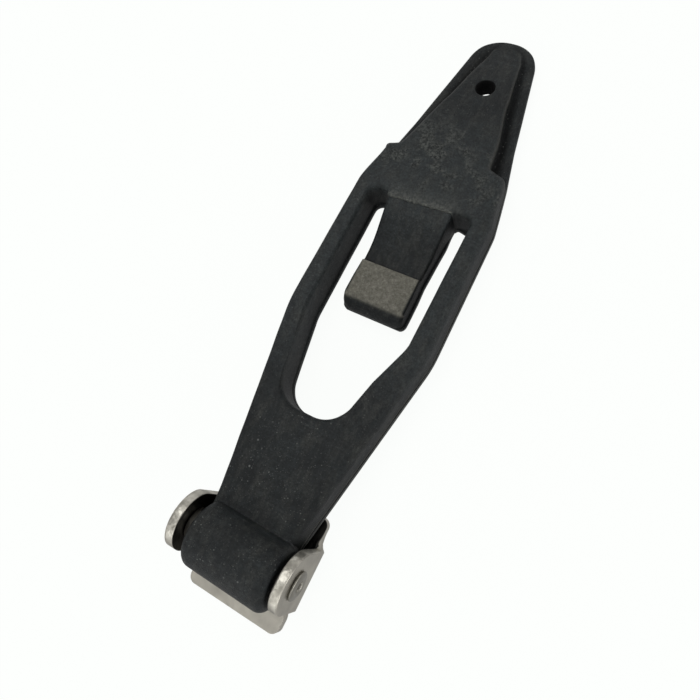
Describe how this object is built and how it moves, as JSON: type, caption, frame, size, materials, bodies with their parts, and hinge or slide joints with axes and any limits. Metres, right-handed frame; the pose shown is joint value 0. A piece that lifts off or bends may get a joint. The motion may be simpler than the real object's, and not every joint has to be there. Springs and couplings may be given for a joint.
{
  "type": "flexible draw latch",
  "caption": "Rubber over-centre draw latch: a windowed strap with a hooking tongue and pull tab, pivoting on a rivet in a folded steel bracket.",
  "frame": {"origin": "on the bracket plate's underside, straight below the pivot axis, in the middle of the latch's width", "axes": "+X along the pivot towards the rolled rivet head, +Y along the strap towards the pull tab, +Z away from the mounting surface"},
  "size_m": [0.0328, 0.1368, 0.0176],
  "materials": {
    "stainless_sheet": "tumbled satin, unpainted",
    "rivet_steel": "satin, rolled over at one end",
    "sleeve_steel": "turned, bright",
    "epdm_rubber": "matte moulded, with dust and faint bloom"
  },
  "bodies": {
    "bracket": {"bracket": "stainless_sheet", "pivot_rivet": "rivet_steel", "pivot_sleeve": "sleeve_steel"},
    "strap": {"strap": "epdm_rubber"},
    "handle": {"handle": "epdm_rubber"}
  },
  "joints": [
    {"name": "strap_pivot", "type": "hinge", "parent": "bracket", "child": "strap", "pos_m": [0, 0, 0.0107], "axis": [1, 0, 0], "range_deg": [0, 185]},
    {"name": "handle_flex", "type": "hinge", "parent": "strap", "child": "handle", "pos_m": [0, 0.06985, 0.00504], "axis": [1, 0, 0], "range_deg": [0, 90], "stiffness_Nm_per_rad": 0.4}
  ]
}
